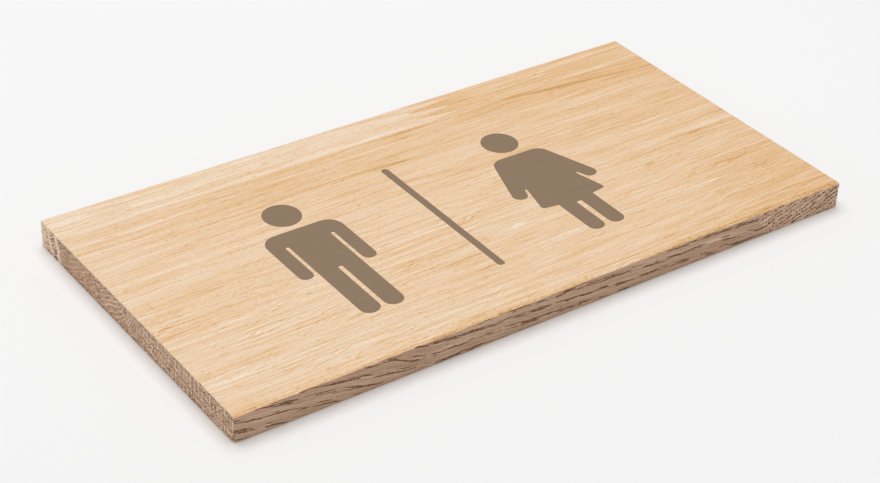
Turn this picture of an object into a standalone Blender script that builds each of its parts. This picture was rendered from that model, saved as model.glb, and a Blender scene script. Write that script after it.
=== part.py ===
"""Oak door sign plaque: a finger-jointed, edge-glued oak board that lies on its back.

Three rows of oak lamellae run along X. The face is at the top, with a generic two-figure sign let into it as
flat inlays. Two steel keyhole plates are screwed flush into the back, so that the board hangs with +Y upwards.

Units are metres. The origin is the centre of the back face, +X runs along the grain to the right-hand end,
+Y points to the sign's upper edge and +Z out of the face.
"""

import math

import bmesh
import bpy
from mathutils import Matrix, Vector

# The board.
BOARD_LENGTH = 0.200
BOARD_HEIGHT = 0.100
BOARD_THICKNESS = 0.008

# The rows of lamellae, from the rear (upper) edge to the front (lower) edge.
REAR_ROW_WIDTH = 0.01125
FRONT_ROW_WIDTH = 0.0447
GLUE_LINE = 0.0001

# The finger joints that lengthen a row. Their fingers show on the face and lie at a slight tilt in the board.
FINGER_LENGTH = 0.0128
FINGER_PITCH = 0.00375
FINGER_TIP = 0.0004
FINGER_GAP = 0.0003
FINGER_TILT = math.radians(6)
REAR_JOINTS = (-0.0828, 0.0235)
FRONT_JOINT = 0.0685

# The sign on the face: heads, bodies and a divider, about the centre of the marking.
SIGN_CENTRE = Vector((-0.007, -0.0042))
SIGN_HEIGHT = 0.056
FIGURE_SPACING = 0.037
HEAD_DIAMETER = 0.011
NECK_GAP = 0.002
DIVIDER_WIDTH = 0.0022
INLAY_DEPTH = 0.0006
INLAY_CLEARANCE = 0.0001

# The keyhole plates and their screws.
PLATE_LENGTH = 0.038
PLATE_HEIGHT = 0.018
PLATE_THICKNESS = 0.0012
PLATE_CORNER = 0.003
PLATE_CLEARANCE = 0.0003
PLATE_SPACING = 0.130
PLATE_Y = 0.0185
KEYHOLE_ENTRY_DIAMETER = 0.008
KEYHOLE_SLOT_WIDTH = 0.004
KEYHOLE_ENTRY_Y = -0.0035
KEYHOLE_SLOT_END_Y = 0.0045
WALL_SCREW_HEAD_DIAMETER = 0.007
RELIEF_MARGIN = 0.0008
RELIEF_DEPTH = 0.0045
SCREW_SPACING = 0.028
SCREW_LENGTH = 0.005
SCREW_HEAD_DIAMETER = 0.0048
SCREW_SHANK_DIAMETER = 0.0025
SCREW_TIP_LENGTH = 0.0012
SCREW_CLEARANCE = 0.0002
RECESS_WIDTH = 0.0007
RECESS_LENGTH = 0.0026
RECESS_DEPTH = 0.0007

# How far a cutter runs past the solid that it cuts.
OVERRUN = 0.002
ARC_STEPS = 6
ROUND_STEPS = 40
SHARP_ANGLE = math.radians(35)

HALF_LENGTH = BOARD_LENGTH / 2
HALF_HEIGHT = BOARD_HEIGHT / 2
REAR_GLUE_Y = HALF_HEIGHT - REAR_ROW_WIDTH
FRONT_GLUE_Y = -HALF_HEIGHT + FRONT_ROW_WIDTH

OAK = (0.80, 0.62, 0.43)
OAK_PALE = (0.84, 0.68, 0.50)
INLAY_BROWN = (0.27, 0.19, 0.13)
ZINC_STEEL = (0.62, 0.63, 0.65)


def clear_scene():
    for obj in list(bpy.data.objects):
        bpy.data.objects.remove(obj)


def new_collection(name):
    collection = bpy.data.collections.new(name)
    bpy.context.scene.collection.children.link(collection)
    return collection


def new_material(name, colour, roughness, metallic=0.0):
    material = bpy.data.materials.new(name)
    material.use_nodes = True
    shader = material.node_tree.nodes["Principled BSDF"]
    shader.inputs["Base Color"].default_value = (*colour, 1.0)
    shader.inputs["Roughness"].default_value = roughness
    shader.inputs["Metallic"].default_value = metallic
    return material


def filleted(corners):
    """A closed outline through (x, y, radius) corners, with an arc at each corner that has a radius."""
    outline = []
    for index, (x, y, radius) in enumerate(corners):
        corner = Vector((x, y))
        to_last = (Vector(corners[index - 1][:2]) - corner).normalized()
        to_next = (Vector(corners[(index + 1) % len(corners)][:2]) - corner).normalized()
        half_angle = to_last.angle(to_next) / 2
        centre = corner + (to_last + to_next).normalized() * (radius / math.sin(half_angle))
        start = corner + to_last * (radius / math.tan(half_angle)) - centre
        end = corner + to_next * (radius / math.tan(half_angle)) - centre
        start_angle = math.atan2(start.y, start.x)
        sweep = (math.atan2(end.y, end.x) - start_angle + math.pi) % (2 * math.pi) - math.pi
        for step in range(ARC_STEPS + 1):
            angle = start_angle + sweep * step / ARC_STEPS
            outline.append(centre + radius * Vector((math.cos(angle), math.sin(angle))))
    return outline


def mirrored(half):
    """The corners of a whole shape, from those of its right half, listed from the top down."""
    return half + [(-x, y, radius) for x, y, radius in reversed(half)]


def box(name, collection, low, high):
    """A box between two corners, with its origin at its centre."""
    low = Vector(low)
    high = Vector(high)
    mesh = bpy.data.meshes.new(name)
    solid = bmesh.new()
    bmesh.ops.create_cube(solid, size=1.0)
    bmesh.ops.scale(solid, vec=high - low, verts=solid.verts)
    solid.to_mesh(mesh)
    solid.free()
    obj = bpy.data.objects.new(name, mesh)
    obj.location = (low + high) / 2
    collection.objects.link(obj)
    return obj


def rod(name, collection, diameter, low_z, high_z, centre):
    """An upright cylinder about a point in the plan."""
    mesh = bpy.data.meshes.new(name)
    solid = bmesh.new()
    bmesh.ops.create_cone(
        solid,
        cap_ends=True,
        segments=ROUND_STEPS,
        radius1=diameter / 2,
        radius2=diameter / 2,
        depth=high_z - low_z,
    )
    solid.to_mesh(mesh)
    solid.free()
    obj = bpy.data.objects.new(name, mesh)
    obj.location = (centre[0], centre[1], (low_z + high_z) / 2)
    collection.objects.link(obj)
    return obj


def slab(name, collection, outline, low_z, high_z, centre=(0, 0)):
    """A flat outline as a 2D curve, extruded between two heights and turned into a closed mesh."""
    curve = bpy.data.curves.new(name + "_outline", "CURVE")
    curve.dimensions = "2D"
    curve.fill_mode = "BOTH"
    curve.extrude = (high_z - low_z) / 2
    spline = curve.splines.new("POLY")
    spline.points.add(len(outline) - 1)
    for point, (x, y) in zip(spline.points, outline):
        point.co = (x, y, 0, 1)
    spline.use_cyclic_u = True
    drawn = bpy.data.objects.new(name + "_curve", curve)
    drawn.location = (centre[0], centre[1], (low_z + high_z) / 2)
    collection.objects.link(drawn)
    bpy.context.view_layer.update()
    graph = bpy.context.evaluated_depsgraph_get()
    mesh = bpy.data.meshes.new_from_object(drawn.evaluated_get(graph))
    weld = bmesh.new()
    weld.from_mesh(mesh)
    bmesh.ops.remove_doubles(weld, verts=weld.verts, dist=1e-7)
    bmesh.ops.dissolve_limit(weld, angle_limit=1e-3, verts=weld.verts, edges=weld.edges)
    bmesh.ops.recalc_face_normals(weld, faces=weld.faces)
    weld.to_mesh(mesh)
    weld.free()
    obj = bpy.data.objects.new(name, mesh)
    obj.matrix_world = drawn.matrix_world
    collection.objects.link(obj)
    bpy.data.objects.remove(drawn)
    return obj


def as_cutter(obj):
    obj.hide_render = True
    obj.display_type = "WIRE"
    return obj


def cut(obj, cutter):
    modifier = obj.modifiers.new("cut_" + cutter.name, "BOOLEAN")
    modifier.operation = "DIFFERENCE"
    modifier.object = cutter


def finish(obj, material, parent):
    """Gives a sub-part its material and its shading, and hangs it on the board's empty."""
    obj.data.materials.clear()
    obj.data.materials.append(material)
    obj.data.shade_smooth()
    obj.data.set_sharp_from_angle(angle=SHARP_ANGLE)
    obj.parent = parent


def finger_edge(joint_x, low_y, high_y):
    """The zigzag of a finger joint between two heights, with a blunt tip at each turn."""
    half_pitch = FINGER_PITCH / 2
    turns = math.ceil((high_y - low_y) / half_pitch) + 2
    edge = []
    for turn in range(-1, turns):
        y = low_y + half_pitch * (turn + 0.5)
        x = joint_x + (FINGER_LENGTH / 2 if turn % 2 == 0 else -FINGER_LENGTH / 2)
        edge.append((x, y - FINGER_TIP / 2))
        edge.append((x, y + FINGER_TIP / 2))
    return edge


def finger_cutter(name, cutters, joint_x, low_y, high_y, side):
    """Removes all of a row beyond one side of a finger joint: side is +1 for what lies towards +X."""
    edge = finger_edge(joint_x - side * FINGER_GAP / 2, low_y, high_y)
    far_x = side * (HALF_LENGTH + OVERRUN)
    outline = edge + [(far_x, edge[-1][1]), (far_x, edge[0][1])]
    cutter = slab(name, cutters, outline, -OVERRUN, BOARD_THICKNESS + OVERRUN)
    tilt = Matrix.Identity(4)
    tilt[1][2] = math.tan(FINGER_TILT)
    cutter.data.transform(tilt)
    return as_cutter(cutter)


def row_box(name, parts, low_y, high_y):
    return box(name, parts, (-HALF_LENGTH, low_y, 0), (HALF_LENGTH, high_y, BOARD_THICKNESS))


def build_lamellae(parts, cutters, board, oak, oak_pale):
    """The six lengths of oak, by name."""
    rear_low = REAR_GLUE_Y + GLUE_LINE / 2
    front_high = FRONT_GLUE_Y - GLUE_LINE / 2
    rear = (rear_low, HALF_HEIGHT)
    front = (-HALF_HEIGHT, front_high)
    left_joint, right_joint = REAR_JOINTS
    # Each lamella: its row, then the joints that end it, each with the side that is cut away.
    layout = {
        "lamella_rear_left": (rear, ((left_joint, 1),), oak),
        "lamella_rear_middle": (rear, ((left_joint, -1), (right_joint, 1)), oak_pale),
        "lamella_rear_right": (rear, ((right_joint, -1),), oak),
        "lamella_middle": ((FRONT_GLUE_Y + GLUE_LINE / 2, REAR_GLUE_Y - GLUE_LINE / 2), (), oak),
        "lamella_front_left": (front, ((FRONT_JOINT, 1),), oak),
        "lamella_front_right": (front, ((FRONT_JOINT, -1),), oak),
    }
    lamellae = {}
    for name, (row, joints, material) in layout.items():
        lamella = row_box(name, parts, *row)
        for joint_x, side in joints:
            end = "right" if side > 0 else "left"
            cut(lamella, finger_cutter(f"{name}_{end}_fingers", cutters, joint_x, *row, side))
        finish(lamella, material, board)
        lamellae[name] = lamella
    return lamellae


def man_outline(top, foot):
    """A standing figure in trousers, from its shoulders to its feet."""
    right_half = [
        (0.0120, top, 0.0046),
        (0.0120, -0.0070, 0.0021),
        (0.0077, -0.0070, 0.0021),
        (0.0077, 0.0085, 0.0004),
        (0.0066, 0.0085, 0.0004),
        (0.0066, foot, 0.0028),
        (0.0007, foot, 0.0028),
        (0.0007, -0.0060, 0.0006),
    ]
    return filleted(mirrored(right_half))


def woman_outline(top, foot):
    """A standing figure in a flared dress, from its shoulders to its feet."""
    right_half = [
        (0.0085, top, 0.0040),
        (0.0152, -0.0045, 0.0021),
        (0.0109, -0.0060, 0.0021),
        (0.0064, 0.0075, 0.0004),
        (0.0112, -0.0120, 0.0010),
        (0.0060, -0.0127, 0.0004),
        (0.0060, foot, 0.0024),
        (0.0009, foot, 0.0024),
        (0.0009, -0.0140, 0.0006),
    ]
    return filleted(mirrored(right_half))


def divider_outline():
    half_width = DIVIDER_WIDTH / 2
    half_height = SIGN_HEIGHT / 2
    corners = [
        (half_width, half_height, half_width * 0.9),
        (half_width, -half_height, half_width * 0.9),
        (-half_width, -half_height, half_width * 0.9),
        (-half_width, half_height, half_width * 0.9),
    ]
    return filleted(corners)


def shrink_in_plan(obj, clearance):
    """Draws the upright walls of a slab inwards by a clearance."""
    mesh = bmesh.new()
    mesh.from_mesh(obj.data)
    moves = {}
    for vert in mesh.verts:
        walls = [face.normal.xy for face in vert.link_faces if abs(face.normal.z) < 0.5]
        first = walls[0].normalized()
        other = max((wall.normalized() for wall in walls), key=lambda wall: (wall - first).length)
        both = first + other
        moves[vert] = both * (-clearance / (1 + first.dot(other)))
    for vert, move in moves.items():
        vert.co.xy += move
    mesh.to_mesh(obj.data)
    mesh.free()


def build_sign(parts, cutters, board, brown, lamellae):
    """The inlays, and the shallow pockets that they lie in."""
    half_height = SIGN_HEIGHT / 2
    body_top = half_height - HEAD_DIAMETER - NECK_GAP
    head_y = half_height - HEAD_DIAMETER / 2
    pocket_z = (BOARD_THICKNESS - INLAY_DEPTH, BOARD_THICKNESS + OVERRUN)
    inlay_z = (BOARD_THICKNESS - INLAY_DEPTH + INLAY_CLEARANCE, BOARD_THICKNESS)
    man_centre = SIGN_CENTRE - Vector((FIGURE_SPACING, 0))
    woman_centre = SIGN_CENTRE + Vector((FIGURE_SPACING, 0))
    for name, centre in (("man_head", man_centre), ("woman_head", woman_centre)):
        head_centre = centre + Vector((0, head_y))
        pocket = rod(name + "_pocket", cutters, HEAD_DIAMETER, *pocket_z, head_centre)
        cut(lamellae["lamella_middle"], as_cutter(pocket))
        head = rod(name, parts, HEAD_DIAMETER - 2 * INLAY_CLEARANCE, *inlay_z, head_centre)
        finish(head, brown, board)
    flat_shapes = (
        ("man_body", man_outline(body_top, -half_height), man_centre),
        ("woman_body", woman_outline(body_top, -half_height), woman_centre),
        ("divider_bar", divider_outline(), SIGN_CENTRE),
    )
    for name, outline, centre in flat_shapes:
        pocket = as_cutter(slab(name + "_pocket", cutters, outline, *pocket_z, centre))
        cut(lamellae["lamella_middle"], pocket)
        cut(lamellae["lamella_front_left"], pocket)
        inlay = slab(name, parts, outline, *inlay_z, centre)
        shrink_in_plan(inlay, INLAY_CLEARANCE)
        finish(inlay, brown, board)


def plate_outline(clearance):
    half_length = PLATE_LENGTH / 2 + clearance
    half_height = PLATE_HEIGHT / 2 + clearance
    corner = PLATE_CORNER + clearance
    corners = [
        (half_length, half_height, corner),
        (half_length, -half_height, corner),
        (-half_length, -half_height, corner),
        (-half_length, half_height, corner),
    ]
    return filleted(corners)


def keyhole_outline():
    """A round entry below a narrower slot with a round upper end."""
    entry_radius = KEYHOLE_ENTRY_DIAMETER / 2
    slot_radius = KEYHOLE_SLOT_WIDTH / 2
    opening = math.asin(slot_radius / entry_radius)
    outline = []
    for step in range(ROUND_STEPS + 1):
        angle = math.pi / 2 - opening - (2 * math.pi - 2 * opening) * step / ROUND_STEPS
        outline.append((entry_radius * math.cos(angle), KEYHOLE_ENTRY_Y + entry_radius * math.sin(angle)))
    for step in range(ROUND_STEPS // 2 + 1):
        angle = math.pi - math.pi * step / (ROUND_STEPS // 2)
        outline.append((slot_radius * math.cos(angle), KEYHOLE_SLOT_END_Y + slot_radius * math.sin(angle)))
    return outline


def turned(name, collection, profile):
    """A solid of revolution from (radius, height) points that run down its outer side."""
    mesh = bpy.data.meshes.new(name)
    points = [(radius, 0, z) for radius, z in profile]
    mesh.from_pydata(points, [(i, i + 1) for i in range(len(points) - 1)], [])
    obj = bpy.data.objects.new(name, mesh)
    collection.objects.link(obj)
    turn = obj.modifiers.new("turn", "SCREW")
    turn.steps = ROUND_STEPS
    turn.render_steps = ROUND_STEPS
    turn.use_merge_vertices = True
    turn.merge_threshold = 1e-6
    turn.use_smooth_shade = True
    return obj


def screw_profile():
    head = SCREW_HEAD_DIAMETER / 2
    shank = SCREW_SHANK_DIAMETER / 2
    return [
        (0, 0),
        (head, 0),
        (shank, -(head - shank)),
        (shank, -(SCREW_LENGTH - SCREW_TIP_LENGTH)),
        (shank * 0.2, -SCREW_LENGTH),
        (0, -SCREW_LENGTH),
    ]


def screw_seat_profile():
    """The countersunk hole that takes a screw, with clearance all round."""
    head = SCREW_HEAD_DIAMETER / 2 + SCREW_CLEARANCE
    shank = SCREW_SHANK_DIAMETER / 2 + SCREW_CLEARANCE
    depth = SCREW_LENGTH + SCREW_CLEARANCE
    return [
        (0, OVERRUN),
        (head + OVERRUN, OVERRUN),
        (shank, -(head - shank)),
        (shank, -depth),
        (0, -depth),
    ]


def build_hanger(side, parts, cutters, board, steel, lamella):
    """One keyhole plate let into the back, the relief behind it and its two screws."""
    word = "left" if side < 0 else "right"
    centre = Vector((side * PLATE_SPACING / 2, PLATE_Y))
    pocket_depth = PLATE_THICKNESS + PLATE_CLEARANCE
    pocket_outline = plate_outline(PLATE_CLEARANCE)
    pocket = slab(f"hanger_{word}_pocket", cutters, pocket_outline, -OVERRUN, pocket_depth, centre)
    cut(lamella, as_cutter(pocket))
    head_room = WALL_SCREW_HEAD_DIAMETER / 2 + RELIEF_MARGIN
    relief_low = centre + Vector((-head_room, KEYHOLE_ENTRY_Y - head_room))
    relief_high = centre + Vector((head_room, KEYHOLE_SLOT_END_Y + head_room))
    relief = box(f"hanger_{word}_relief", cutters, (*relief_low, -OVERRUN), (*relief_high, RELIEF_DEPTH))
    cut(lamella, as_cutter(relief))

    plate = slab(f"hanger_{word}", parts, plate_outline(0), 0, PLATE_THICKNESS, centre)
    keyhole_z = (-OVERRUN, PLATE_THICKNESS + OVERRUN)
    keyhole = slab(f"hanger_{word}_keyhole", cutters, keyhole_outline(), *keyhole_z, centre)
    cut(plate, as_cutter(keyhole))
    for screw_side in (-1, 1):
        place = (centre.x + screw_side * SCREW_SPACING / 2, centre.y, 0)
        screw_name = f"hanger_{word}_screw_" + ("left" if screw_side < 0 else "right")
        seat = as_cutter(turned(screw_name + "_seat", cutters, screw_seat_profile()))
        seat.location = place
        seat.rotation_euler = (math.pi, 0, 0)
        cut(plate, seat)
        cut(lamella, seat)
        screw = turned(screw_name, parts, screw_profile())
        screw.location = place
        screw.rotation_euler = (math.pi, 0, 0)
        for size_x, size_y in ((RECESS_LENGTH, RECESS_WIDTH), (RECESS_WIDTH, RECESS_LENGTH)):
            low = (place[0] - size_x / 2, place[1] - size_y / 2, -OVERRUN)
            high = (place[0] + size_x / 2, place[1] + size_y / 2, RECESS_DEPTH)
            cut(screw, as_cutter(box(screw_name + "_recess", cutters, low, high)))
        finish(screw, steel, board)
    finish(plate, steel, board)


def build():
    clear_scene()
    parts = new_collection("oak_door_sign")
    cutters = new_collection("cutters")
    board = bpy.data.objects.new("board_origin", None)
    parts.objects.link(board)
    oak = new_material("oak", OAK, 0.55)
    oak_pale = new_material("oak_pale", OAK_PALE, 0.55)
    brown = new_material("brown_inlay", INLAY_BROWN, 0.6)
    steel = new_material("zinc_steel", ZINC_STEEL, 0.35, metallic=1.0)
    lamellae = build_lamellae(parts, cutters, board, oak, oak_pale)
    build_sign(parts, cutters, board, brown, lamellae)
    for side in (-1, 1):
        build_hanger(side, parts, cutters, board, steel, lamellae["lamella_middle"])


build()
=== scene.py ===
"""The looks of the oak door sign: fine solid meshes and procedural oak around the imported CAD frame."""

import math

import bmesh
import bpy
import numpy as np
from mathutils import Matrix, Vector


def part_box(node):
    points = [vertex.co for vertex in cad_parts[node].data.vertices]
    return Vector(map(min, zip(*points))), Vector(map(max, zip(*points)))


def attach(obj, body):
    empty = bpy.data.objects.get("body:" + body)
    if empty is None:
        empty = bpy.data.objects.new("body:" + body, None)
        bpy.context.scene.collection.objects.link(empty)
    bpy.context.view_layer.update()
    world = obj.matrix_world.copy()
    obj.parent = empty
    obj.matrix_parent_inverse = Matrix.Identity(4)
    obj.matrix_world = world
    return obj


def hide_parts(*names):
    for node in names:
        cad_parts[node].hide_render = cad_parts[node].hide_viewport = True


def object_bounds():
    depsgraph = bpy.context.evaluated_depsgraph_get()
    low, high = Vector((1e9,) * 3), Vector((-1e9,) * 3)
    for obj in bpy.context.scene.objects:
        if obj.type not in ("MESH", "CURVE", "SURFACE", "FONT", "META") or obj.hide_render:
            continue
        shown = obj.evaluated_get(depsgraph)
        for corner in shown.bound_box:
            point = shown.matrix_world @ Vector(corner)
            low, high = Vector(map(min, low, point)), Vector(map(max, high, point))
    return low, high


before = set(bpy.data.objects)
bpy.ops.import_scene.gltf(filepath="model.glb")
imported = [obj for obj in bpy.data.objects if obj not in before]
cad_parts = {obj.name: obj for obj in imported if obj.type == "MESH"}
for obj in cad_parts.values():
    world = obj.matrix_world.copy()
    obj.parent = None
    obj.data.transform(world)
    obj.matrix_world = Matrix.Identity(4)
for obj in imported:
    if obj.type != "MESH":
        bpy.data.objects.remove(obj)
CAD_LOW, CAD_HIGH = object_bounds()

MM = 0.001

# The board's rows: which lamella follows which along +X, with the finger joints between them.
ROWS = (
    ("lamella_rear_left", "lamella_rear_middle", "lamella_rear_right"),
    ("lamella_middle",),
    ("lamella_front_left", "lamella_front_right"),
)
INLAYS = ("man_head", "man_body", "divider_bar", "woman_head", "woman_body")
HANGERS = ("hanger_left", "hanger_right")

# Clearances that the CAD solids keep, and how far a real, glued board closes them.
FINGER_GAP = 0.3 * MM
GLUE_GAP = 0.1 * MM
SEAM = 0.001 * MM
INLAY_CLEARANCE = 0.1 * MM
INLAY_LIP = 0.03 * MM
INLAY_RISE = 0.02 * MM

# Two places closer than NEAR are the same place, and two vertices closer than WELD are one vertex.
NEAR = 0.01 * MM
WELD = 0.0001 * MM

# The board's grid along x, y and z: coarse spacing, fine spacing, and the width of the two fine bands.
GRID = (
    (0.7 * MM, 0.15 * MM, 1.2 * MM),
    (0.6 * MM, 0.12 * MM, 1.2 * MM),
    (0.17 * MM, 0.12 * MM, 1.0 * MM),
)

# On the sides and ends, an edge longer than this is split by this many cuts.
LONG_EDGE = 0.3 * MM
EDGE_CUTS = 2

# The depth of the fine relief on the sanded faces, the sawn sides and the sawn ends, in mm.
FACE_RELIEF = 0.012
SIDE_RELIEF = 0.035
END_RELIEF = 0.05

# How far the shape that cuts out a lamella runs out past the board's faces.
RUN_OUT = 0.3 * MM

# How near an arris the way that a polygon faces decides which material it gets.
ARRIS_BAND = 0.6 * MM

# How wide the bevels are that break the edges of the inlays, the plates and the screws.
INLAY_BEVEL = 0.04 * MM
PLATE_BEVEL = 0.12 * MM
SCREW_BEVEL = 0.06 * MM
BEVEL_SEGMENTS = 2

# The angles above which oak and steel edges are shaded sharp, and steel and inlay edges are bevelled.
OAK_SHARP = math.radians(40)
STEEL_SHARP = math.radians(30)
STEEL_BEVELLED = math.radians(40)
INLAY_BEVELLED = math.radians(50)

# Faces that differ by less than this angle, in radians, are dissolved into one.
FLAT_ANGLE = 0.001

LENGTH = CAD_HIGH.x - CAD_LOW.x
WIDTH = CAD_HIGH.y - CAD_LOW.y
THICKNESS = CAD_HIGH.z - CAD_LOW.z


# ---------------------------------------------------------------- noise for the meshes


def lattice_value(cells, seed):
    """A repeatable value from 0 to 1 for each row of whole numbers. The large numbers stir its bits."""
    mixed = np.full(len(cells), (seed * 2654435761) % 4294967296, np.uint64)
    for axis, prime in zip(range(cells.shape[1]), (73856093, 19349663, 83492791)):
        mixed ^= (cells[:, axis].astype(np.int64) * prime).astype(np.uint64) & np.uint64(0xFFFFFFFF)
        mixed = (mixed * np.uint64(747796405) + np.uint64(2891336453)) & np.uint64(0xFFFFFFFF)
    mixed ^= mixed >> np.uint64(15)
    mixed = (mixed * np.uint64(2246822519)) & np.uint64(0xFFFFFFFF)
    mixed ^= mixed >> np.uint64(13)
    return mixed.astype(float) / 4294967295.0


def smooth_noise(points, cell, seed):
    """Value noise from -1 to 1 at each point, with one cell size for each axis."""
    scaled = points / np.array(cell)
    base = np.floor(scaled)
    part = scaled - base
    part = part * part * (3 - 2 * part)
    total = np.zeros(len(points))
    for corner in np.ndindex(*([2] * points.shape[1])):
        weight = np.ones(len(points))
        for axis, step in enumerate(corner):
            weight *= part[:, axis] if step else 1 - part[:, axis]
        total += weight * lattice_value(base + np.array(corner), seed)
    return total * 2 - 1


# ---------------------------------------------------------------- the board as one fine block


def graded(low, high, coarse, fine, band):
    """Places from low to high, coarse inside and fine within a band at both ends."""
    steps = max(1, round(band / fine))
    inner = max(1, round((high - low - 2 * band) / coarse))
    parts = (
        np.linspace(low, low + band, steps, endpoint=False),
        np.linspace(low + band, high - band, inner, endpoint=False),
        np.linspace(high - band, high, steps + 1),
    )
    return np.concatenate(parts)


def surface_lattice(xs, ys, zs):
    """The points and quads of a box's six faces, gridded by three lists of places."""
    sizes = (len(xs), len(ys), len(zs))
    ids = np.full(sizes, -1)
    i, j, k = np.indices(sizes)
    at_end = [(place == 0) | (place == size - 1) for place, size in zip((i, j, k), sizes)]
    on_face = at_end[0] | at_end[1] | at_end[2]
    ids[on_face] = np.arange(on_face.sum())
    points = np.stack([xs[i[on_face]], ys[j[on_face]], zs[k[on_face]]], axis=1)
    quads = []
    for axis in range(3):
        for end in (0, -1):
            sheet = np.take(ids, end, axis=axis)
            around = (sheet[:-1, :-1], sheet[1:, :-1], sheet[1:, 1:], sheet[:-1, 1:])
            corners = np.stack(around, axis=-1).reshape(-1, 4)
            outward = (end == -1) == (axis != 1)
            quads.append(corners if outward else corners[:, ::-1])
    return points, np.concatenate(quads)


def bites(along, cell, seed, spared=0.0):
    """Noise from 0 to 1 along an edge, 0 where the noise is lower than the spared level."""
    return np.clip(smooth_noise(along, (cell,), seed) - spared, 0, 1)


def eased_radius(points):
    """How far each stretch of edge is worn round: least on the rear and ends, most along the front."""
    x, y, z = points.T
    along = x[:, None]
    top = z > THICKNESS / 2
    front = y < 0
    chips = bites(along, 6.5 * MM, 11) * 0.3 * MM
    chips += bites(along, 1.7 * MM, 12) * 0.22 * MM
    radius = np.where(front & top, 0.1 * MM + chips, 0.16 * MM)
    nicks = bites(along, 2.3 * MM, 14, spared=0.3) * 0.4 * MM
    radius += np.where(front & ~top, nicks, 0)
    # The lower corner at the front left is worn the most, and the saw tore the left end's lower arris.
    corner = np.hypot(x - CAD_LOW.x, y - CAD_LOW.y)
    radius += np.where(~top, 0.75 * MM * np.exp(-((corner / (2.2 * MM)) ** 2)), 0)
    saw = np.clip(smooth_noise(points[:, 1:2], (1.3 * MM,), 13), -0.2, 1)
    at_left = x < CAD_LOW.x + 1.5 * MM
    radius += np.where(at_left & ~top, 0.22 * MM * (saw + 0.2), 0)
    return radius


def dubbed_over(points):
    """How far the face falls away towards the front arris, where it has been sanded over."""
    near = np.clip(1 - (points[:, 1] - CAD_LOW.y) / (1.3 * MM), 0, 1)
    high = np.clip(points[:, 2] / (THICKNESS / 2) - 1, 0, 1)
    fall = 0.2 + 0.09 * smooth_noise(points[:, :1], (11 * MM,), 15)
    return near**1.5 * high**4 * fall * MM


def relieve(points):
    """Rounds the block's edges and lays the fine relief of sanded and sawn oak into it, all inwards."""
    radius = eased_radius(points)[:, None]
    low = np.array(CAD_LOW)
    high = np.array(CAD_HIGH)
    inner = np.clip(points, low + radius, high - radius)
    away = points - inner
    distance = np.linalg.norm(away, axis=1, keepdims=True)
    outward = away / np.maximum(distance, 1e-12)
    rounded = inner + outward * radius
    rounded[:, 2] -= dubbed_over(points)

    grain = smooth_noise(points, (9 * MM, 0.7 * MM, 9 * MM), 21)
    sawn = smooth_noise(points, (6 * MM, 9 * MM, 0.35 * MM), 22)
    fibres = smooth_noise(points, (9 * MM, 0.5 * MM, 0.5 * MM), 23)
    depth = np.abs(outward[:, 2]) * FACE_RELIEF * MM * (1 + grain)
    depth += np.abs(outward[:, 1]) * SIDE_RELIEF * MM * (1 + sawn)
    depth += np.abs(outward[:, 0]) * END_RELIEF * MM * (1 + fibres)
    return rounded - outward * depth[:, None]


def lies_on_face(edge, axis):
    """True for an edge that lies on either of the block's two faces across an axis."""
    for side in (CAD_LOW, CAD_HIGH):
        if all(abs(vert.co[axis] - side[axis]) < NEAR for vert in edge.verts):
            return True
    return False


def refine(grid, across, along):
    """Splits the long edges that run along one axis, on the two faces across another."""
    chosen = []
    for edge in grid.edges:
        first, second = (vert.co for vert in edge.verts)
        if lies_on_face(edge, across) and abs(first[along] - second[along]) > LONG_EDGE:
            chosen.append(edge)
    bmesh.ops.subdivide_edges(grid, edges=chosen, cuts=EDGE_CUTS)


def board_block():
    """The whole board as one closed, relieved skin, finest on its sides and ends."""
    xs, ys, zs = (graded(low, high, *spacing) for low, high, spacing in zip(CAD_LOW, CAD_HIGH, GRID))
    points, quads = surface_lattice(xs, ys, zs)
    mesh = bpy.data.meshes.new("board_block")
    mesh.from_pydata(points.tolist(), [], quads.tolist())
    grid = bmesh.new()
    grid.from_mesh(mesh)
    refine(grid, across=1, along=0)
    refine(grid, across=0, along=1)
    grid.to_mesh(mesh)
    grid.free()
    points = np.zeros(len(mesh.vertices) * 3)
    mesh.vertices.foreach_get("co", points)
    mesh.vertices.foreach_set("co", relieve(points.reshape(-1, 3)).ravel())
    block = bpy.data.objects.new("board_block", mesh)
    bpy.context.scene.collection.objects.link(block)
    return block


# ---------------------------------------------------------------- lamellae


def cad_copy(node):
    """An editable, welded copy of a CAD node's mesh, without the shading normals it was stored with."""
    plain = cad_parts[node].data.copy()
    shading = plain.attributes.get("custom_normal")
    if shading:
        plain.attributes.remove(shading)
    solid = bmesh.new()
    solid.from_mesh(plain)
    bpy.data.meshes.remove(plain)
    bmesh.ops.remove_doubles(solid, verts=solid.verts, dist=WELD)
    return solid


def territory(node, row):
    """A lamella's CAD solid, run out past the board's faces and widened to the middle of each gap."""
    solid = cad_copy(node)
    low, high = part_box(node)
    place = row.index(node)
    reach = FINGER_GAP + NEAR
    for vert in solid.verts:
        for axis in range(3):
            if abs(vert.co[axis] - CAD_LOW[axis]) < NEAR:
                vert.co[axis] -= RUN_OUT
            elif abs(vert.co[axis] - CAD_HIGH[axis]) < NEAR:
                vert.co[axis] += RUN_OUT
        for edge, step in ((low.y, -1), (high.y, 1)):
            if CAD_LOW.y + NEAR < edge < CAD_HIGH.y - NEAR and abs(vert.co.y - edge) < NEAR:
                vert.co.y += step * (GLUE_GAP / 2 - SEAM)
        if place + 1 < len(row) and vert.co.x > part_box(row[place + 1])[0].x - reach:
            vert.co.x += FINGER_GAP / 2 - SEAM
        if place > 0 and vert.co.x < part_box(row[place - 1])[1].x + reach:
            vert.co.x -= FINGER_GAP / 2 - SEAM
    mesh = bpy.data.meshes.new(node + "_territory")
    solid.to_mesh(mesh)
    solid.free()
    obj = bpy.data.objects.new(node + "_territory", mesh)
    bpy.context.scene.collection.objects.link(obj)
    return obj


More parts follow.
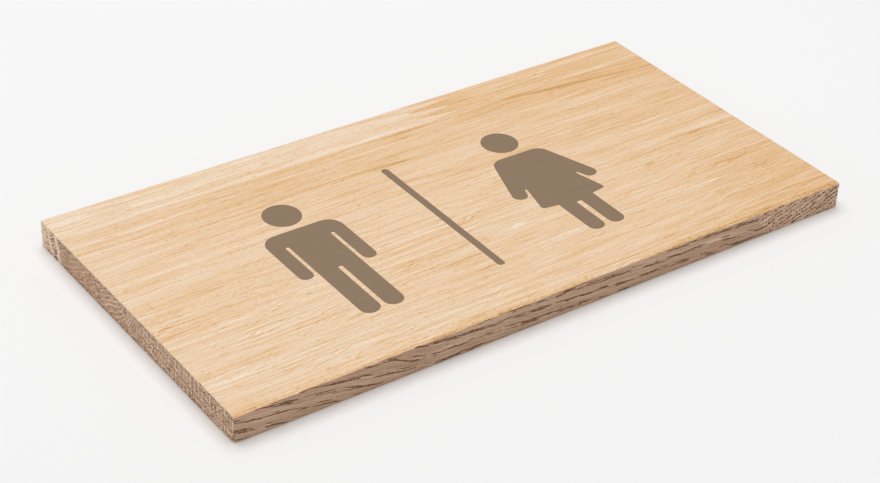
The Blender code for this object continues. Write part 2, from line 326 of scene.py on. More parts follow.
def applied(obj):
    """The object's mesh with its modifiers applied."""
    graph = bpy.context.evaluated_depsgraph_get()
    return bpy.data.meshes.new_from_object(obj.evaluated_get(graph), depsgraph=graph)


def skin_slots(mesh):
    """Each polygon's material slot: 0 for the wide faces, 1 for the long sides and 2 for the ends."""
    normals = np.zeros(len(mesh.polygons) * 3)
    centres = np.zeros(len(mesh.polygons) * 3)
    mesh.polygons.foreach_get("normal", normals)
    mesh.polygons.foreach_get("center", centres)
    centres = centres.reshape(-1, 3)
    # Place decides, because a groove's walls and the slivers along a cut face anywhere. Only near an
    # arris, where two faces are equally close, does the way that a polygon faces decide.
    gaps = np.minimum(centres - np.array(CAD_LOW), np.array(CAD_HIGH) - centres)
    facing = np.abs(normals.reshape(-1, 3)) - gaps / ARRIS_BAND
    return 2 - facing.argmax(axis=1)


def island(start):
    """Every vertex that edges join to the first one."""
    found = {start}
    waiting = [start]
    while waiting:
        vert = waiting.pop()
        for edge in vert.link_edges:
            other = edge.other_vert(vert)
            if other not in found:
                found.add(other)
                waiting.append(other)
    return found


def drop_crumbs(mesh):
    """Keeps a mesh's largest island. The others are crumbs that a groove cut off a finger's corner."""
    solid = bmesh.new()
    solid.from_mesh(mesh)
    unseen = set(solid.verts)
    islands = []
    while unseen:
        islands.append(island(next(iter(unseen))))
        unseen -= islands[-1]
    islands.sort(key=len)
    for crumb in islands[:-1]:
        bmesh.ops.delete(solid, geom=list(crumb), context="VERTS")
    solid.to_mesh(mesh)
    solid.free()


def lamella(node, row, block, materials):
    """The share of the fine block that one lamella fills, with that lamella's own grain cut into it."""
    shape = territory(node, row)
    grain = block.modifiers.new("grain", "NODES")
    grain.node_group = carve_grain(node)
    common = block.modifiers.new("common", "BOOLEAN")
    common.operation = "INTERSECT"
    common.solver = "MANIFOLD"
    common.object = shape
    mesh = applied(block)
    block.modifiers.clear()
    bpy.data.objects.remove(shape)
    drop_crumbs(mesh)
    mesh.materials.clear()
    for material in materials:
        mesh.materials.append(material)
    mesh.polygons.foreach_set("material_index", skin_slots(mesh).astype(np.int32))
    mesh.shade_smooth()
    mesh.set_sharp_from_angle(angle=OAK_SHARP)
    piece = bpy.data.objects.new(node.replace("lamella", "oak"), mesh)
    bpy.context.scene.collection.objects.link(piece)
    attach(piece, "root")
    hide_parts(node)
    return piece


# ---------------------------------------------------------------- inlays and hangers


def spread_in_plan(solid, distance):
    """Moves the upright walls of a prism outwards."""
    moves = {}
    for vert in solid.verts:
        walls = [face.normal.xy.normalized() for face in vert.link_faces if abs(face.normal.z) < 0.5]
        other = max(walls, key=lambda wall: (wall - walls[0]).length)
        moves[vert] = (walls[0] + other) * (distance / (1 + walls[0].dot(other)))
    for vert, move in moves.items():
        vert.co.xy += move


def inlay(node, material):
    """Brown filler that meets the oak all round and stands a hair proud, with a soft rim."""
    solid = cad_copy(node)
    solid.normal_update()
    bmesh.ops.dissolve_limit(solid, angle_limit=FLAT_ANGLE, verts=solid.verts, edges=solid.edges)
    spread_in_plan(solid, INLAY_CLEARANCE + INLAY_LIP)
    low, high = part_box(node)
    for vert in solid.verts:
        if vert.co.z > (low.z + high.z) / 2:
            vert.co.z += INLAY_RISE
    mesh = bpy.data.meshes.new(node + "_fill")
    solid.to_mesh(mesh)
    solid.free()
    mesh.shade_flat()
    mesh.materials.clear()
    mesh.materials.append(material)
    piece = bpy.data.objects.new(node + "_fill", mesh)
    bpy.context.scene.collection.objects.link(piece)
    rim = piece.modifiers.new("rim", "BEVEL")
    rim.width = INLAY_BEVEL
    rim.segments = BEVEL_SEGMENTS
    rim.limit_method = "ANGLE"
    rim.angle_limit = INLAY_BEVELLED
    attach(piece, "root")
    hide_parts(node)
    return piece


def takes_a_bevel(edge, width):
    """True for a sharp edge, unless it is too short for the bevel or ends at a wall that is too low."""
    if edge.calc_length() < width:
        return False
    for vert in edge.verts:
        for wall in vert.link_edges:
            low, high = sorted(end.co.z for end in wall.verts)
            upright = high - low > 0.9 * wall.calc_length()
            if upright and high - low < 2 * width:
                return False
    return edge.calc_face_angle(0) > STEEL_BEVELLED


def softened(node, name, width, material):
    """A CAD solid again, with its sharp edges broken."""
    solid = cad_copy(node)
    bmesh.ops.dissolve_limit(solid, angle_limit=FLAT_ANGLE, verts=solid.verts, edges=solid.edges)
    solid.normal_update()
    weight = solid.edges.layers.float.new("bevel_weight_edge")
    for edge in solid.edges:
        edge[weight] = float(takes_a_bevel(edge, width))
    mesh = bpy.data.meshes.new(name)
    solid.to_mesh(mesh)
    solid.free()
    mesh.materials.clear()
    mesh.materials.append(material)
    mesh.shade_smooth()
    mesh.set_sharp_from_angle(angle=STEEL_SHARP)
    piece = bpy.data.objects.new(name, mesh)
    bpy.context.scene.collection.objects.link(piece)
    bevel = piece.modifiers.new("bevel", "BEVEL")
    bevel.width = width
    bevel.segments = BEVEL_SEGMENTS
    bevel.limit_method = "WEIGHT"
    bevel.use_clamp_overlap = False
    bevel.harden_normals = True
    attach(piece, "root")
    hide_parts(node)
    return piece


# ---------------------------------------------------------------- materials


def srgb(red, green, blue):
    """Linear colour from an 8-bit display colour."""

    def linear(level):
        level /= 255
        return level / 12.92 if level <= 0.04045 else ((level + 0.055) / 1.055) ** 2.4

    return (linear(red), linear(green), linear(blue), 1.0)


class Nodes:
    """Adds nodes to a tree and wires them. A value is a socket, a number or a list of numbers.

    A material and a geometry modifier know the same maths and noise nodes, so one recipe can both
    colour a surface and carve it. Places and lengths are in mm.
    """

    def __init__(self, tree, place):
        self.tree = tree
        self.place = self.vector("MULTIPLY", place, [1 / MM] * 3)
        parts = self.add("ShaderNodeSeparateXYZ")
        self.feed(parts.inputs[0], self.place)
        self.x, self.y, self.z = parts.outputs
        self.from_left = self.plus(self.x, LENGTH / MM / 2)
        self.from_rear = self.math("SUBTRACT", WIDTH / MM / 2, self.y)

    def add(self, kind, **settings):
        node = self.tree.nodes.new(kind)
        for key, value in settings.items():
            setattr(node, key, value)
        return node

    def feed(self, socket, value):
        if isinstance(value, bpy.types.NodeSocket):
            self.tree.links.new(value, socket)
        else:
            socket.default_value = value

    def math(self, operation, *values, clamp=False):
        node = self.add("ShaderNodeMath", operation=operation, use_clamp=clamp)
        for socket, value in zip(node.inputs, values):
            self.feed(socket, value)
        return node.outputs[0]

    def plus(self, *values):
        total = values[0]
        for value in values[1:]:
            total = self.math("ADD", total, value)
        return total

    def times(self, *values):
        total = values[0]
        for value in values[1:]:
            total = self.math("MULTIPLY", total, value)
        return total

    def vector(self, operation, first, second):
        node = self.add("ShaderNodeVectorMath", operation=operation)
        self.feed(node.inputs[0], first)
        self.feed(node.inputs[1], second)
        return node.outputs[0]

    def joined(self, x, y, z):
        node = self.add("ShaderNodeCombineXYZ")
        for socket, value in zip(node.inputs, (x, y, z)):
            self.feed(socket, value)
        return node.outputs[0]

    def noise(self, place, cell, seed=0.0, detail=1.0, roughness=0.5, distortion=0.0):
        """Perlin noise about 0, roughly from -0.5 to 0.5, with one cell size in mm for each axis."""
        scaled = self.vector("DIVIDE", place, list(cell))
        moved = self.vector("ADD", scaled, [seed * 17.3, seed * 5.9, seed * 11.1])
        node = self.add("ShaderNodeTexNoise", noise_dimensions="3D")
        self.feed(node.inputs["Vector"], moved)
        node.inputs["Scale"].default_value = 1.0
        node.inputs["Detail"].default_value = detail
        node.inputs["Roughness"].default_value = roughness
        node.inputs["Distortion"].default_value = distortion
        return self.math("SUBTRACT", node.outputs["Fac"], 0.5)

    def step(self, value, low, high, to_low=0.0, to_high=1.0):
        """A smooth step from to_low to to_high as value runs from low to high."""
        node = self.add("ShaderNodeMapRange", interpolation_type="SMOOTHSTEP")
        for socket, given in zip(node.inputs, (value, low, high, to_low, to_high)):
            self.feed(socket, given)
        return node.outputs[0]

    def waves(self, value, spacing):
        """A wave from -1 to 1 that repeats each time the value grows by the spacing."""
        return self.math("SINE", self.times(value, math.tau / spacing))

    def ridge(self, value, width):
        """1 where value is 0, falling to 0 at plus and minus width."""
        return self.step(self.math("ABSOLUTE", value), 0.0, width, 1.0, 0.0)

    def turned(self, first, second, degrees):
        """Two places after their axes turn: along a line that rises by the angle, and across it."""
        cosine = math.cos(math.radians(degrees))
        sine = math.sin(math.radians(degrees))
        along = self.plus(self.times(first, cosine), self.times(second, sine))
        return along, self.plus(self.times(second, cosine), self.times(first, -sine))

    def ramp(self, factor, stops):
        """A colour from (place, colour) stops."""
        node = self.add("ShaderNodeValToRGB")
        elements = node.color_ramp.elements
        elements[0].position, elements[0].color = stops[0]
        elements[1].position, elements[1].color = stops[-1]
        for place, colour in stops[1:-1]:
            elements.new(place).color = colour
        self.feed(node.inputs[0], factor)
        return node.outputs[0]

    def mix(self, factor, first, second, blend="MIX"):
        node = self.add("ShaderNodeMix", data_type="RGBA", blend_type=blend)
        self.feed(node.inputs[0], factor)
        self.feed(node.inputs[6], first)
        self.feed(node.inputs[7], second)
        return node.outputs[2]

    def pits(self, first, second, cell, seed, randomness):
        """The distance to the nearest of many scattered points, and that point's number from 0 to 1."""
        size = [*cell, 1.0]
        scaled = self.vector("DIVIDE", self.joined(first, second, 0.0), size)
        moved = self.vector("ADD", scaled, [seed * 17.3, seed * 5.9, 0.0])
        node = self.add("ShaderNodeTexVoronoi", voronoi_dimensions="2D")
        self.feed(node.inputs["Vector"], moved)
        node.inputs["Scale"].default_value = 1.0
        node.inputs["Randomness"].default_value = randomness
        apart = self.vector("SUBTRACT", moved, node.outputs["Position"])
        apart = self.vector("MULTIPLY", apart, size)
        length = self.add("ShaderNodeVectorMath", operation="LENGTH")
        self.feed(length.inputs[0], apart)
        return length.outputs["Value"], node.outputs["Color"]


class Finish(Nodes):
    """The nodes of a new material."""

    def __init__(self, name):
        self.material = bpy.data.materials.new(name)
        self.material.use_nodes = True
        self.tree = self.material.node_tree
        self.shader = self.tree.nodes["Principled BSDF"]
        super().__init__(self.tree, self.add("ShaderNodeTexCoord").outputs["Object"])

    def wire(self, colour, roughness, height, bump, metallic=0.0):
        """Wires the shader. Height is in mm and bump is its strength."""
        self.feed(self.shader.inputs["Base Color"], colour)
        self.feed(self.shader.inputs["Roughness"], roughness)
        self.feed(self.shader.inputs["Metallic"], metallic)
        node = self.add("ShaderNodeBump")
        node.inputs["Strength"].default_value = bump
        node.inputs["Distance"].default_value = MM
        self.feed(node.inputs["Height"], height)
        self.feed(self.shader.inputs["Normal"], node.outputs[0])
        return self.material


class Carving(Nodes):
    """The nodes of a new geometry group that moves a mesh's points."""

    def __init__(self, name):
        self.tree = bpy.data.node_groups.new(name, "GeometryNodeTree")
        for direction in ("INPUT", "OUTPUT"):
            self.tree.interface.new_socket("Geometry", in_out=direction, socket_type="NodeSocketGeometry")
        super().__init__(self.tree, self.add("GeometryNodeInputPosition").outputs[0])

    def wire(self, offset):
        """Moves each point by the offset."""
        move = self.add("GeometryNodeSetPosition")
        self.feed(move.inputs["Geometry"], self.add("NodeGroupInput").outputs[0])
        self.feed(move.inputs["Offset"], self.vector("MULTIPLY", offset, [MM] * 3))
        self.feed(self.add("NodeGroupOutput").inputs[0], move.outputs[0])
        return self.tree


# Oak's face from dark growth line to cream ray. A tone is close to the blue level of its display colour.
OAK_TONES = (
    (75, srgb(190, 134, 68)),
    (105, srgb(211, 159, 97)),
    (134, srgb(227, 183, 130)),
    (152, srgb(233, 195, 152)),
    (171, srgb(236, 205, 171)),
    (185, srgb(239, 214, 185)),
    (196, srgb(242, 221, 196)),
    (205, srgb(244, 226, 205)),
)

# A noise cell so long, in mm, that the noise hardly changes along it.
LONG = 60

# The noise cells of a ray fleck on the faces and of a long groove on the sides, in mm.
RAY_CELL = (9, 1.0, 9)
GROOVE_CELL = (4.8, LONG, 0.36)

# How far apart pores lie along a row and the rows from each other, in mm. The squeeze then draws the
# rows out along their length, and each pore with them.
PORE_PITCH = (0.58, 1.4)
PORE_SQUEEZE = 0.62

# How far apart rings, wedges and rays lie on the sides and ends, in mm.
SIDE_RING_SPACING = 2.7
END_RING_SPACING = 1.6
WEDGE_SPACING = 4.1
LEVEL_RAY_SPACING = 1.9
UPRIGHT_RAY_SPACING = 1.8

# How deep the grain of the sides and ends is cut, as a share of its recipes' heights, and the band of the
# faces beside an arris over which the cut grows from nothing, as distances from the outside in mm.
CARVING = 0.7
CARVED_FROM = 0.8
CARVED_TO = 0.1

# Each lamella's seed, how much its tone differs from the board's, and whether its face shows rays.
OAK_LOOKS = {
    "lamella_rear_left": (1.0, 5, False),
    "lamella_rear_middle": (2.0, 16, False),
    "lamella_rear_right": (3.0, -7, False),
    "lamella_middle": (4.0, 0, False),
    "lamella_front_left": (5.0, 3, True),
    "lamella_front_right": (6.0, -2, True),
}


def middle_features(n):
    """The middle row's growth lines, golden rear, darker right and pale foot."""
    wave = n.times(n.math("SINE", n.times(n.from_left, 0.11)), 0.45)
    wander = n.times(n.noise(n.place, (16, 30, 30), 61), 1.6)
    line = n.ridge(n.plus(n.from_rear, -24.7, wave, wander), 0.9)
    strength = n.plus(34, n.times(n.noise(n.place, (17, 40, 40), 62), 60))
    fading = n.times(n.step(n.from_left, 8, 60, 0.35, 1.0), n.step(n.from_left, 99, 107, -1.0, -0.15))
    growth_line = n.times(line, strength, fading)
    drift = n.times(n.step(n.from_left, 140, 205), 5.5)
    under_joint = n.plus(n.from_rear, -12.2, n.times(drift, -1), n.times(wander, 0.3))
    short_line = n.times(n.ridge(under_joint, 0.8), n.ridge(n.plus(n.from_left, -110), 14), -44)
    long_line = n.times(
        n.ridge(under_joint, 1.1),
        n.step(n.from_left, 142, 152),
        n.step(n.from_left, 165, 205, -38, -12),
    )
    golden = n.times(n.step(n.from_rear, 14, 27, 1.0, 0.0), n.step(n.from_left, 22, 60, -2, -15))
    right_band = n.times(n.ridge(n.plus(n.from_rear, -36), 7), n.step(n.from_left, 95, 130, 0, -8))
    pale_foot = n.step(n.from_rear, 49, 54, 0, 5)
    return n.plus(growth_line, short_line, long_line, golden, right_band, pale_foot)


def rear_features(n, node):
    """The rear row's pale line along its glue joint, and the browner start of its right-hand length."""
    sway = n.times(n.math("SINE", n.times(n.from_left, 0.03)), 0.4)
    pale_line = n.times(n.ridge(n.plus(n.from_rear, -10.4, sway), 1.8), 7)
    if node != "lamella_rear_right":
        return pale_line
    browner = n.times(n.step(n.from_left, 124, 152, -13, 0), n.step(n.from_rear, 5, 9, 1.0, 0.3))
    return n.plus(pale_line, browner)


def front_features(n):
    """The front row's darkening towards its front edge and its golden right-hand corner."""
    golden = n.times(n.step(n.from_left, 150, 190), n.step(n.from_rear, 70, 84), -8)
    return n.plus(n.times(n.step(n.from_rear, 90, 98.6), -6), golden)


def face_features(n, node):
    """What gives each row's face its own look, as a change of tone."""
    if node == "lamella_middle":
        return middle_features(n)
    if node.startswith("lamella_rear"):
        return rear_features(n, node)
    return front_features(n)


def ray_flecks(n, seed, ripple, streaks):
    """The leaning pale flecks of a quarter-sawn face, and a painted shade along one side of each."""
    leaning = n.plus(n.y, n.times(n.x, -0.15), n.times(ripple, 4.5))
    clusters = n.times(n.noise(n.place, (24, 9, 20), seed + 10), 0.45)

    def flecks(line):
        """Where a fleck covers a point that lies on a line of the leaning grain."""
        scattered = n.noise(n.joined(n.x, line, n.z), RAY_CELL, seed + 9)
        return n.step(n.plus(scattered, clusters), 0.14, 0.2)

    pale = n.times(flecks(leaning), n.step(streaks, -0.06, 0.12, 0.15, 1.0))
    # The second mask is the same flecks moved a little across the grain: a painted shade beside each
    # fleck.
    return pale, flecks(n.plus(leaning, 0.45))


def sanded_front(n):
    """The change of tone along the front arris, where the face is golden, torn and specked."""
    torn = n.noise(n.place, (1.5, 0.4, 9), 71)
    drift = n.noise(n.place, (11, 90, 9), 76)
    rim = n.step(n.plus(n.from_rear, n.times(torn, 1.2), n.times(drift, 2.4)), 98.4, 98.9)
    specks = n.step(n.noise(n.place, (1.1, 0.5, 9), 77), 0.1, 0.2)
    return n.times(rim, n.plus(-18, n.times(torn, 90), n.times(specks, -30)))


def toned(n, total, tones):
    """The colour of a tone, by (tone, colour) stops from the darkest to the palest."""
    darkest = tones[0][0]
    span = tones[-1][0] - darkest
    stops = [((tone - darkest) / span, colour) for tone, colour in tones]
    return n.ramp(n.math("DIVIDE", n.plus(total, -darkest), span), stops)


def oak_face(node):
    """The wide faces: straight fine grain, short dark pores and, where quarter-sawn, pale ray flecks."""
    seed, offset, rays = OAK_LOOKS[node]
    n = Finish(node + "_face")
    ripple = n.noise(n.place, (13, 4, 20), seed + 2)
    across = n.plus(n.y, n.times(n.noise(n.place, (60, 16, 20), seed + 1), 3.0), n.times(ripple, 0.9))
    grain = n.joined(n.x, across, n.z)
    bands = n.noise(grain, (70, 1.9, 9), seed + 4)
    streaks = n.noise(grain, (38, 0.75, 9), seed + 5)
    hairs = n.noise(grain, (14, 0.38, 9), seed + 6)
    tooth = n.noise(n.place, (0.9, 0.45, 9), seed + 7)
    threads = n.ridge(n.noise(grain, (60, 1.5, 9), seed + 11, detail=0), 0.05)
    threads = n.times(threads, n.step(n.noise(grain, (22, 3, 9), seed + 12), -0.1, 0.2))
    pores = n.step(n.noise(grain, (2.8, 0.36, 9), seed + 8), 0.12, 0.22)
    deep_pores = n.step(n.noise(grain, (2.4, 0.36, 9), seed + 13), 0.17, 0.26)
    total = n.plus(
        170 + offset,
        # Darker towards the right: partly the oak's tone, partly painted shade for light that falls off
        # from the left.
        n.times(n.from_left, -0.07),
        face_features(n, node),
        n.times(n.noise(grain, (80, 5, 9), seed + 3), 26),
        n.times(bands, 32 if rays else 42),
        n.times(streaks, 74 if rays else 66),
        n.times(hairs, 90 if rays else 84),
        n.times(tooth, 52),
        n.times(threads, -30 if rays else -22),
        n.times(pores, n.step(n.from_left, 60, 130, -20, -12)),
        n.times(deep_pores, n.step(n.from_left, 50, 140, -52, -30)),
    )
    height = n.plus(
        n.times(streaks, 0.1),
        n.times(hairs, 0.1),
        n.times(pores, -0.05),
        n.times(deep_pores, -0.06),
    )
    if rays:
        # Each fleck is paler, and a painted shade darkens a strip along one side of it.
        fleck, painted_shade = ray_flecks(n, seed, ripple, streaks)
        total = n.plus(total, n.times(fleck, 29), n.times(painted_shade, -23))
        height = n.plus(height, n.times(fleck, 0.05))
    colour = toned(n, n.plus(total, sanded_front(n)), OAK_TONES)
    return n.wire(colour, n.plus(0.55, n.times(streaks, 0.2)), height, 0.6)


# The sawn edges and ends from open pore to cream ray. A tone is the red level of its display colour.
EDGE_TONES = (
    (80, srgb(80, 52, 20)),
    (135, srgb(135, 98, 60)),
    (180, srgb(180, 141, 110)),
    (205, srgb(205, 168, 140)),
    (230, srgb(230, 195, 168)),
    (250, srgb(250, 224, 198)),
)
GOLDEN_RIM = srgb(238, 192, 128)
# A painted highlight along the ends' upper arris, paler than the face.
CREAM_HIGHLIGHT = srgb(250, 226, 190)
ORANGE_FLECK = srgb(238, 186, 128)


def long_grooves(n, seed):
    """Flat-sawn grain: rings sinking to the right, with long pores partly in painted shadow and a painted
    highlight beside each.
    """
    fall = n.plus(n.times(n.from_left, 0.05), n.times(n.math("MINIMUM", n.from_left, 60), 0.13))
    wave = n.times(n.noise(n.place, (17, LONG, 6), seed + 1), 2.4)
    kinks = n.times(n.noise(n.place, (3, LONG, 3), seed + 2), 0.5)
    ring = n.plus(n.z, fall, wave, kinks)
    porous = n.step(n.waves(ring, SIDE_RING_SPACING), -0.3, 0.8)

    def grooves(place):
        """Where a groove covers a point that lies at a place across the rings."""
        vessels = n.noise(n.joined(n.x, n.y, place), GROOVE_CELL, seed + 3)
        return n.step(n.plus(vessels, n.times(porous, 0.22)), 0.21, 0.28)

    grain = n.joined(n.x, n.y, ring)
    # The grooves are the pores' brown deepened with painted shadow, and the same grooves moved across the
    # rings are a painted highlight beside them.
    dark = n.times(grooves(ring), n.plus(0.5, n.times(porous, 0.5)))
    painted_highlight = grooves(n.plus(ring, 0.3))
    breaks = n.noise(n.place, (0.45, LONG, 0.5), seed + 4)
    streaks = n.noise(grain, (12, LONG, 0.55), seed + 5)
    total = n.plus(
        200,
        n.times(n.noise(grain, (30, LONG, 2.2), seed + 6), 40),
        n.times(streaks, 62),
        n.times(painted_highlight, 20),
        n.times(dark, n.plus(-80, n.times(breaks, 180))),
        n.times(breaks, 34),
    )
    return total, n.plus(n.times(streaks, 0.08), n.times(dark, -0.3))


def pore_rows(n, seed):
    """An off-cut whose rings rise to the right: short round pores in rows on a paler ground."""
    along, across = n.turned(n.x, n.z, 17)
    across = n.plus(across, n.times(n.noise(n.place, (9, LONG, 5), seed + 1), 1.0))
    ragged = n.times(n.noise(n.place, (0.6, LONG, 0.6), seed + 5), 0.36)
    along_row = n.times(n.plus(along, ragged), PORE_SQUEEZE)
    away, chance = n.pits(along_row, n.plus(across, ragged), PORE_PITCH, seed + 2, 0.4)
    dark = n.step(n.math("SUBTRACT", away, n.times(n.plus(chance, -0.22), 0.3)), 0.07, 0.2, 1.0, 0.0)
    patches = n.noise(n.joined(along, n.y, across), (3.5, LONG, 0.9), seed + 3)
    grit = n.noise(n.place, (0.5, LONG, 0.5), seed + 4)
    total = n.plus(214, n.times(patches, 84), n.times(dark, -96), n.times(grit, 66))
    return total, n.plus(n.times(dark, -0.3), n.times(grit, 0.1))


def side_grain(n, node):
    """The tone and the height of one lamella's long edge."""
    if node in ("lamella_front_right", "lamella_rear_middle"):
        return pore_rows(n, OAK_LOOKS[node][0])
    return long_grooves(n, OAK_LOOKS[node][0])


def oak_side(node):
    """The long edges, sawn, with the finish of the face just lapping over the upper arris."""
    n = Finish(node + "_side")
    total, height = side_grain(n, node)
    torn = n.times(n.noise(n.place, (1.2, LONG, 0.6), 72), 0.5)
    drift = n.times(n.noise(n.place, (8, LONG, 9), 75), 0.6)
    rim = n.step(n.plus(n.z, n.plus(torn, drift)), 7.7, 7.84)
    colour = n.mix(n.times(rim, 0.6), toned(n, total, EDGE_TONES), GOLDEN_RIM)
    return n.wire(colour, 0.75, height, 0.3)


def steep_rays(n, seed):
    """The rear row's end: pale rays that lean steeply, with porous wedges between them."""
    across_rays = n.plus(n.times(n.from_rear, 0.94), n.times(n.z, 0.34))
    wander = n.times(n.noise(n.place, (LONG, 3, 3), seed + 1), 2.0)
    turn = n.plus(n.times(across_rays, math.tau / WEDGE_SPACING), wander)
    wedge = n.step(n.math("COSINE", turn), -0.6, 0.3)
    wedge = n.times(wedge, n.step(n.from_rear, 1.5, 5.0, 0.2, 1.0))
    along, across = n.turned(n.from_rear, n.z, 33)
    strokes = n.noise(n.joined(0.0, along, across), (LONG, 1.8, 0.56), seed + 2)
    dark = n.times(n.step(strokes, -0.05, 0.07), wedge)
    grit = n.noise(n.place, (LONG, 0.5, 0.5), seed + 3)
    ray = n.ridge(n.noise(n.joined(0.0, across_rays, n.z), (LONG, 1.7, 9), seed + 4), 0.07)
    total = n.plus(
        244,
        n.times(wedge, -22),
        n.times(dark, -50),
        n.times(ray, 20),
        n.times(strokes, n.plus(-50, n.times(wedge, -40))),
        n.times(grit, 86),
    )
    return total, n.plus(n.times(dark, -0.16), n.times(grit, 0.06))


def slanting_rings(n, seed):
    """The middle row's end: rings that climb towards the front, and ever steeper near it."""
    beyond = n.math("MAXIMUM", n.plus(n.from_rear, -42), 0.0)
    climb = n.plus(n.times(n.from_rear, 0.53), n.times(beyond, beyond, 0.07))
    wander = n.times(n.noise(n.place, (LONG, 5, 4), seed + 1), 1.5)
    ring = n.plus(n.z, n.times(climb, -1), wander)
    grain = n.joined(0.0, n.from_rear, ring)
    pale = n.step(n.waves(ring, END_RING_SPACING), 0.35, 0.9)
    pale = n.times(pale, n.step(n.noise(grain, (LONG, 5, 1.2), seed + 2), -0.2, 0.1))
    fine = n.noise(grain, (LONG, 3.0, 0.5), seed + 3)
    vessels = n.step(n.noise(grain, (LONG, 1.1, 0.5), seed + 4), 0.05, 0.18)
    pricks = n.step(n.noise(n.place, (LONG, 0.5, 1.1), seed + 5), 0.1, 0.22)
    clear = n.step(n.from_rear, 18, 34, 0.6, 1.0)
    total = n.plus(
        n.step(n.from_rear, 13, 30, 199, 208),
        n.times(pale, clear, 30),
        n.times(fine, clear, 92),
        n.times(vessels, clear, -58),
        n.times(pricks, clear, -34),
        n.times(n.noise(n.place, (LONG, 0.6, 0.6), seed + 6), 40),
    )
    return total, n.plus(n.times(pale, 0.05), n.times(vessels, -0.12), n.times(pricks, -0.12))


def ray_lattice(n, seed):
    """The front row's end: upright pore columns crossed by pale, nearly level rays."""
    along, across = n.turned(n.from_rear, n.z, 26)
    ticks = n.step(n.noise(n.joined(0.0, along, across), (LONG, 0.85, 0.4), seed + 1), 0.06, 0.13)
    columns = n.step(n.noise(n.place, (LONG, 0.42, 2.6), seed + 6), 0.08, 0.16)
    columns = n.times(columns, n.step(n.from_rear, 64, 78, 0.3, 1.0))
    level = n.plus(n.z, n.times(n.from_rear, 0.1), n.times(n.noise(n.place, (LONG, 6, 6), seed + 3), 0.6))
    ray = n.step(n.waves(level, LEVEL_RAY_SPACING), 0.72, 0.95)
    ray = n.times(ray, n.step(n.noise(n.place, (LONG, 0.9, 1.2), seed + 4), -0.16, -0.02))
    upright = n.plus(n.from_rear, n.times(n.noise(n.place, (LONG, 5, 9), seed + 2), 2.0))
    upright = n.step(n.waves(upright, UPRIGHT_RAY_SPACING), 0.75, 0.95)
    upright = n.times(upright, n.step(n.noise(n.place, (LONG, 2.5, 2.5), seed + 7), -0.2, 0.0))
    grit = n.noise(n.place, (LONG, 0.36, 0.36), seed + 5)
    total = n.plus(
        209,
        n.times(ticks, -60),
        n.times(columns, -42),
        n.times(ray, 40),
        n.times(upright, 38),
        n.times(grit, 84),
    )
    return total, n.plus(n.times(ticks, -0.14), n.times(columns, -0.12), n.times(grit, 0.08))


def end_grain(n, node):
    """The tone and the height of one lamella's end."""
    if node == "lamella_middle":
        return slanting_rings(n, OAK_LOOKS[node][0])
    if node.startswith("lamella_rear"):
        return steep_rays(n, OAK_LOOKS[node][0])
    return ray_lattice(n, OAK_LOOKS[node][0])


def oak_end(node):
    """The ends: each row in its own pattern, with a painted highlight on the pale arris above and painted
    shade in the torn fibres below.
    """
    n = Finish(node + "_end")
    total, height = end_grain(n, node)
    torn = n.noise(n.place, (LONG, 0.7, 1.5), 73)
    # Darker along the foot: painted shade in the torn fibres of the lower arris.
    foot = n.step(n.plus(n.z, n.times(torn, 2.0)), 0.2, 0.7, -42, 0)
    colour = toned(n, n.plus(total, foot), EDGE_TONES)
    if node == "lamella_middle":
        rising = n.plus(n.z, n.times(n.from_rear, -0.5))
        flecks = n.noise(n.joined(0.0, n.times(n.from_rear, 0.9), rising), (LONG, 1.6, 0.45), 74)
        window = n.step(n.from_rear, 22, 34, 1.0, 0.25)
        colour = n.mix(n.times(n.step(flecks, 0.14, 0.25), window, 0.8), colour, ORANGE_FLECK)
    # A thin cream line along the upper arris: the face's pale edge with a painted highlight on it.
    rim = n.step(n.plus(n.z, n.times(torn, 0.4)), 7.66, 7.88)
    return n.wire(n.mix(rim, colour, CREAM_HIGHLIGHT), 0.8, height, 0.3)


def carve_grain(node):
    """One lamella's open pores and rings as real relief, cut into the board's sides and ends."""
    n = Carving(node + "_grain")
    below_arris = n.step(n.z, 7.3, 7.9, 1.0, 0.25)

    def inwards(place, size, height):
        """How far to move a point that lies at either end of an axis, along that axis."""
        half = size / MM / 2
        near_end = n.step(n.math("ABSOLUTE", place), half - CARVED_FROM, half - CARVED_TO)
        depth = n.math("MAXIMUM", n.times(height, -CARVING), 0.0)
        return n.times(n.math("SIGN", place), near_end, below_arris, depth, -1)

    ends_in = inwards(n.x, LENGTH, end_grain(n, node)[1])
    sides_in = inwards(n.y, WIDTH, side_grain(n, node)[1])
    return n.wire(n.joined(ends_in, sides_in, 0.0))


def brown_filler():
    """Flat opaque brown, with the grain below only just showing."""
    n = Finish("brown_filler")
    mottle = n.noise(n.place, (6, 3, 6), 31, detail=2)
    telegraph = n.noise(n.place, (14, 0.7, 6), 32)
    tone = n.plus(0.5, n.times(mottle, 0.5), n.times(telegraph, 0.3))
    colour = n.ramp(tone, ((0.0, srgb(131, 108, 83)), (1.0, srgb(141, 117, 92))))
    return n.wire(colour, 0.62, n.times(telegraph, 0.02), 0.3)


def zinc_steel():
    """Zinc-plated steel, with a light brushed grain and faint spangle."""
    n = Finish("zinc_steel")
    brushed = n.noise(n.place, (6, 0.15, 6), 41, detail=2)
    spangle = n.noise(n.place, (2.5, 2.5, 2.5), 42)
    tone = n.plus(0.5, n.times(brushed, 0.4), n.times(spangle, 0.5))
    colour = n.ramp(tone, ((0.0, srgb(176, 180, 186)), (1.0, srgb(214, 216, 219))))
    return n.wire(colour, n.plus(0.32, n.times(brushed, 0.2)), brushed, 0.05, metallic=1.0)


def pale_floor():
    """A matt, nearly white floor."""
    n = Finish("floor")
    mottle = n.noise(n.place, (400, 400, 400), 51)
    colour = n.ramp(n.plus(0.5, mottle), ((0.0, srgb(243, 243, 243)), (1.0, srgb(246, 246, 246))))
    return n.wire(colour, 0.9, 0.0, 0.0)


# ---------------------------------------------------------------- stage


# The floor's width in metres, and the hair's breadth that keeps it out of the board's underside.
FLOOR_SIZE = 6
FLOOR_GAP = 0.02 * MM


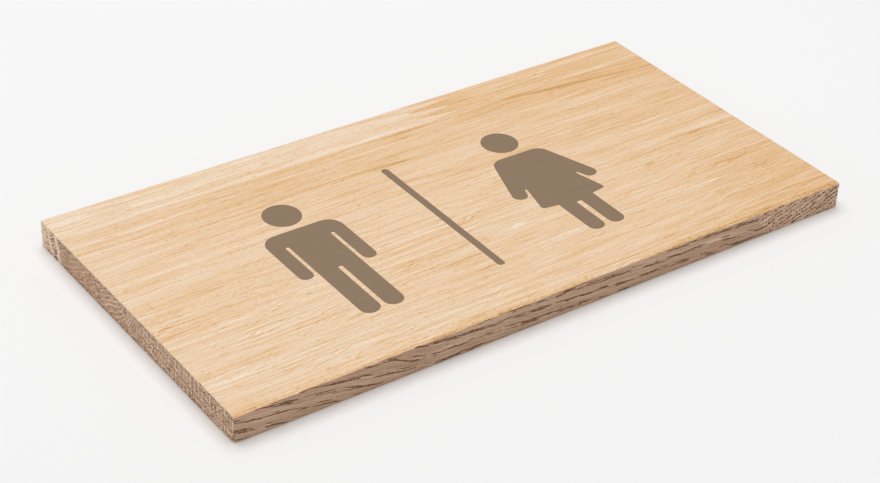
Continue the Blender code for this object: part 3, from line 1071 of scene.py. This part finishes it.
def build_stage():
    """A pale floor, one large soft light overhead and a dim white world."""
    bpy.ops.mesh.primitive_plane_add(size=FLOOR_SIZE, location=(0, 0, CAD_LOW.z - FLOOR_GAP))
    floor = bpy.context.object
    floor.name = "floor"
    floor.data.materials.append(pale_floor())

    # Large and high, in metres and watts, so that the shadow stays soft.
    light = bpy.data.lights.new("overhead", "AREA")
    light.shape = "DISK"
    light.size = 1.6
    light.energy = 20
    lamp = bpy.data.objects.new("overhead", light)
    lamp.location = (0.0, 0.25, 1.6)
    lamp.rotation_euler = (Vector((0, 0, 0)) - lamp.location).to_track_quat("-Z", "Y").to_euler()
    bpy.context.scene.collection.objects.link(lamp)

    world = bpy.data.worlds.new("studio")
    bpy.context.scene.world = world
    world.use_nodes = True
    background = world.node_tree.nodes["Background"]
    background.inputs["Color"].default_value = (1, 1, 1, 1)
    background.inputs["Strength"].default_value = 0.4


# Where the camera is, as seen from the centre of the board's face. The last three are in board lengths.
AZIMUTH = math.radians(-37.456)
ELEVATION = math.radians(33.375)
ROLL = math.radians(3.177)
DISTANCE = 2.8216
ASIDE = -0.0176
ABOVE = -0.0557

# The lens and the sensor's width, in mm.
LENS = 83.732318
SENSOR = 36


def build_camera():
    """A camera with the viewpoint and the lens that were fitted to the photo's corners."""
    back = Vector(
        (
            math.sin(AZIMUTH) * math.cos(ELEVATION),
            -math.cos(AZIMUTH) * math.cos(ELEVATION),
            math.sin(ELEVATION),
        )
    )
    level = Vector((0, 0, 1)).cross(back).normalized()
    upright = back.cross(level)
    right = math.cos(ROLL) * level + math.sin(ROLL) * upright
    up = -math.sin(ROLL) * level + math.cos(ROLL) * upright
    aim = Vector(((CAD_LOW.x + CAD_HIGH.x) / 2, (CAD_LOW.y + CAD_HIGH.y) / 2, CAD_HIGH.z))
    data = bpy.data.cameras.new("camera")
    data.sensor_width = SENSOR
    data.lens = LENS
    data.clip_start = 0.01
    camera = bpy.data.objects.new("camera", data)
    camera.location = aim + (back * DISTANCE + right * ASIDE + up * ABOVE) * LENGTH
    camera.rotation_euler = Matrix((right, up, back)).transposed().to_euler()
    bpy.context.scene.collection.objects.link(camera)
    bpy.context.scene.camera = camera


def build():
    """Every visible piece, the stage, the camera and plain colour management."""
    brown = brown_filler()
    steel = zinc_steel()
    block = board_block()
    for row in ROWS:
        for node in row:
            lamella(node, row, block, (oak_face(node), oak_side(node), oak_end(node)))
    bpy.data.objects.remove(block)
    for node in INLAYS:
        inlay(node, brown)
    for hanger in HANGERS:
        softened(hanger, hanger + "_plate", PLATE_BEVEL, steel)
        for side_name in ("left", "right"):
            screw = f"{hanger}_screw_{side_name}"
            softened(screw, screw.replace("screw", "woodscrew"), SCREW_BEVEL, steel)
    build_stage()
    build_camera()
    bpy.context.scene.view_settings.view_transform = "Standard"


build()
